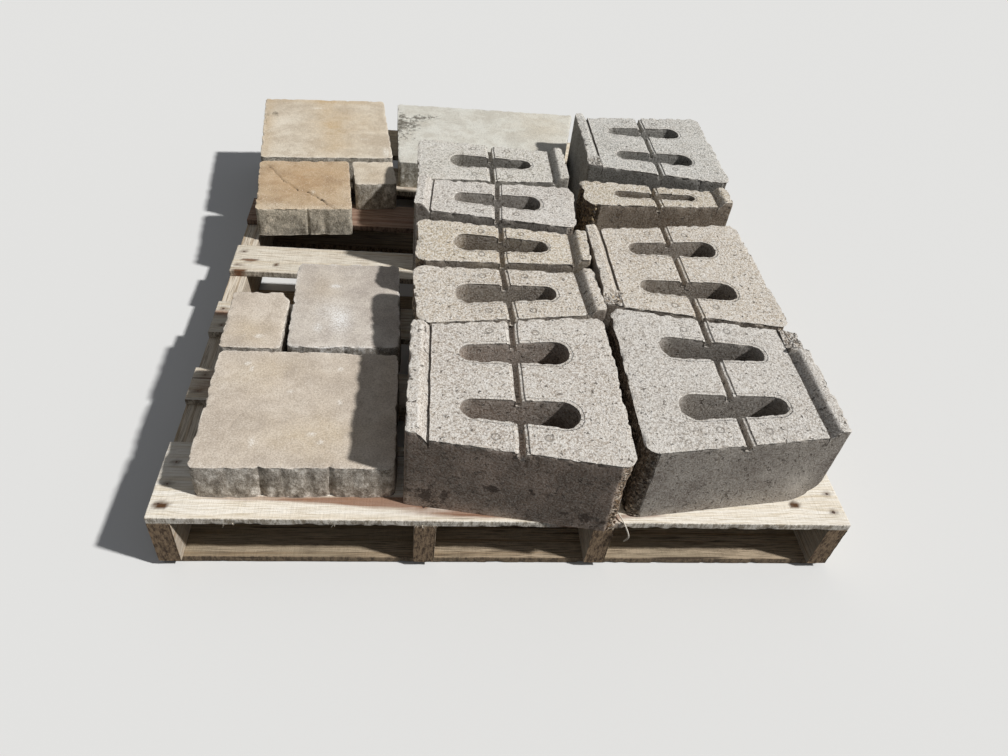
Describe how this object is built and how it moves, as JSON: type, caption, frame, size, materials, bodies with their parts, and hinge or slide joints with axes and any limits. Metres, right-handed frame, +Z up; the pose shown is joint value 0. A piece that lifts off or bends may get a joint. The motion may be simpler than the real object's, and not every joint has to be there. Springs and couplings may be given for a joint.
{
  "type": "pallet of concrete blocks",
  "caption": "Wooden stringer pallet with a mixed load of tapered, cored retaining wall blocks laid with their locating lips up, and flat paving slabs beside them.",
  "frame": {"origin": "centre of the pallet's footprint, on the ground: on the underside of the middle bottom board", "axes": "+X along the pallet's front to the right, +Y from its front to its back, +Z up"},
  "size_m": [1.0462, 1.2634, 0.2667],
  "materials": {
    "deck_boards": "rough",
    "bottom_boards": "rough",
    "stringers": "rough",
    "grey_wall_blocks": "rough",
    "tan_wall_block": "rough",
    "grey_slabs": "rough",
    "tan_paver": "rough"
  },
  "bodies": {
    "root": {"bottom_board_1": "bottom_boards", "bottom_board_2": "bottom_boards", "bottom_board_3": "bottom_boards", "bottom_board_4": "bottom_boards", "bottom_board_5": "bottom_boards", "paver_rear": "grey_slabs", "paver_small": "grey_slabs", "paver_tan": "tan_paver", "slab_front": "grey_slabs", "slab_medium": "grey_slabs", "slab_rear": "grey_slabs", "slab_small": "grey_slabs", "stringer_1": "stringers", "stringer_2": "stringers", "stringer_3": "stringers", "stringer_4": "stringers", "top_board_1": "deck_boards", "top_board_2": "deck_boards", "top_board_3": "deck_boards", "top_board_4": "deck_boards", "top_board_5": "deck_boards", "top_board_6": "deck_boards", "top_board_7": "deck_boards", "wall_block_large_1": "grey_wall_blocks", "wall_block_large_2": "grey_wall_blocks", "wall_block_large_3": "grey_wall_blocks", "wall_block_large_4": "grey_wall_blocks", "wall_block_narrow": "tan_wall_block", "wall_block_small_1": "grey_wall_blocks", "wall_block_small_2": "grey_wall_blocks", "wall_block_small_3": "grey_wall_blocks", "wall_block_small_4": "grey_wall_blocks"}
  },
  "joints": []
}
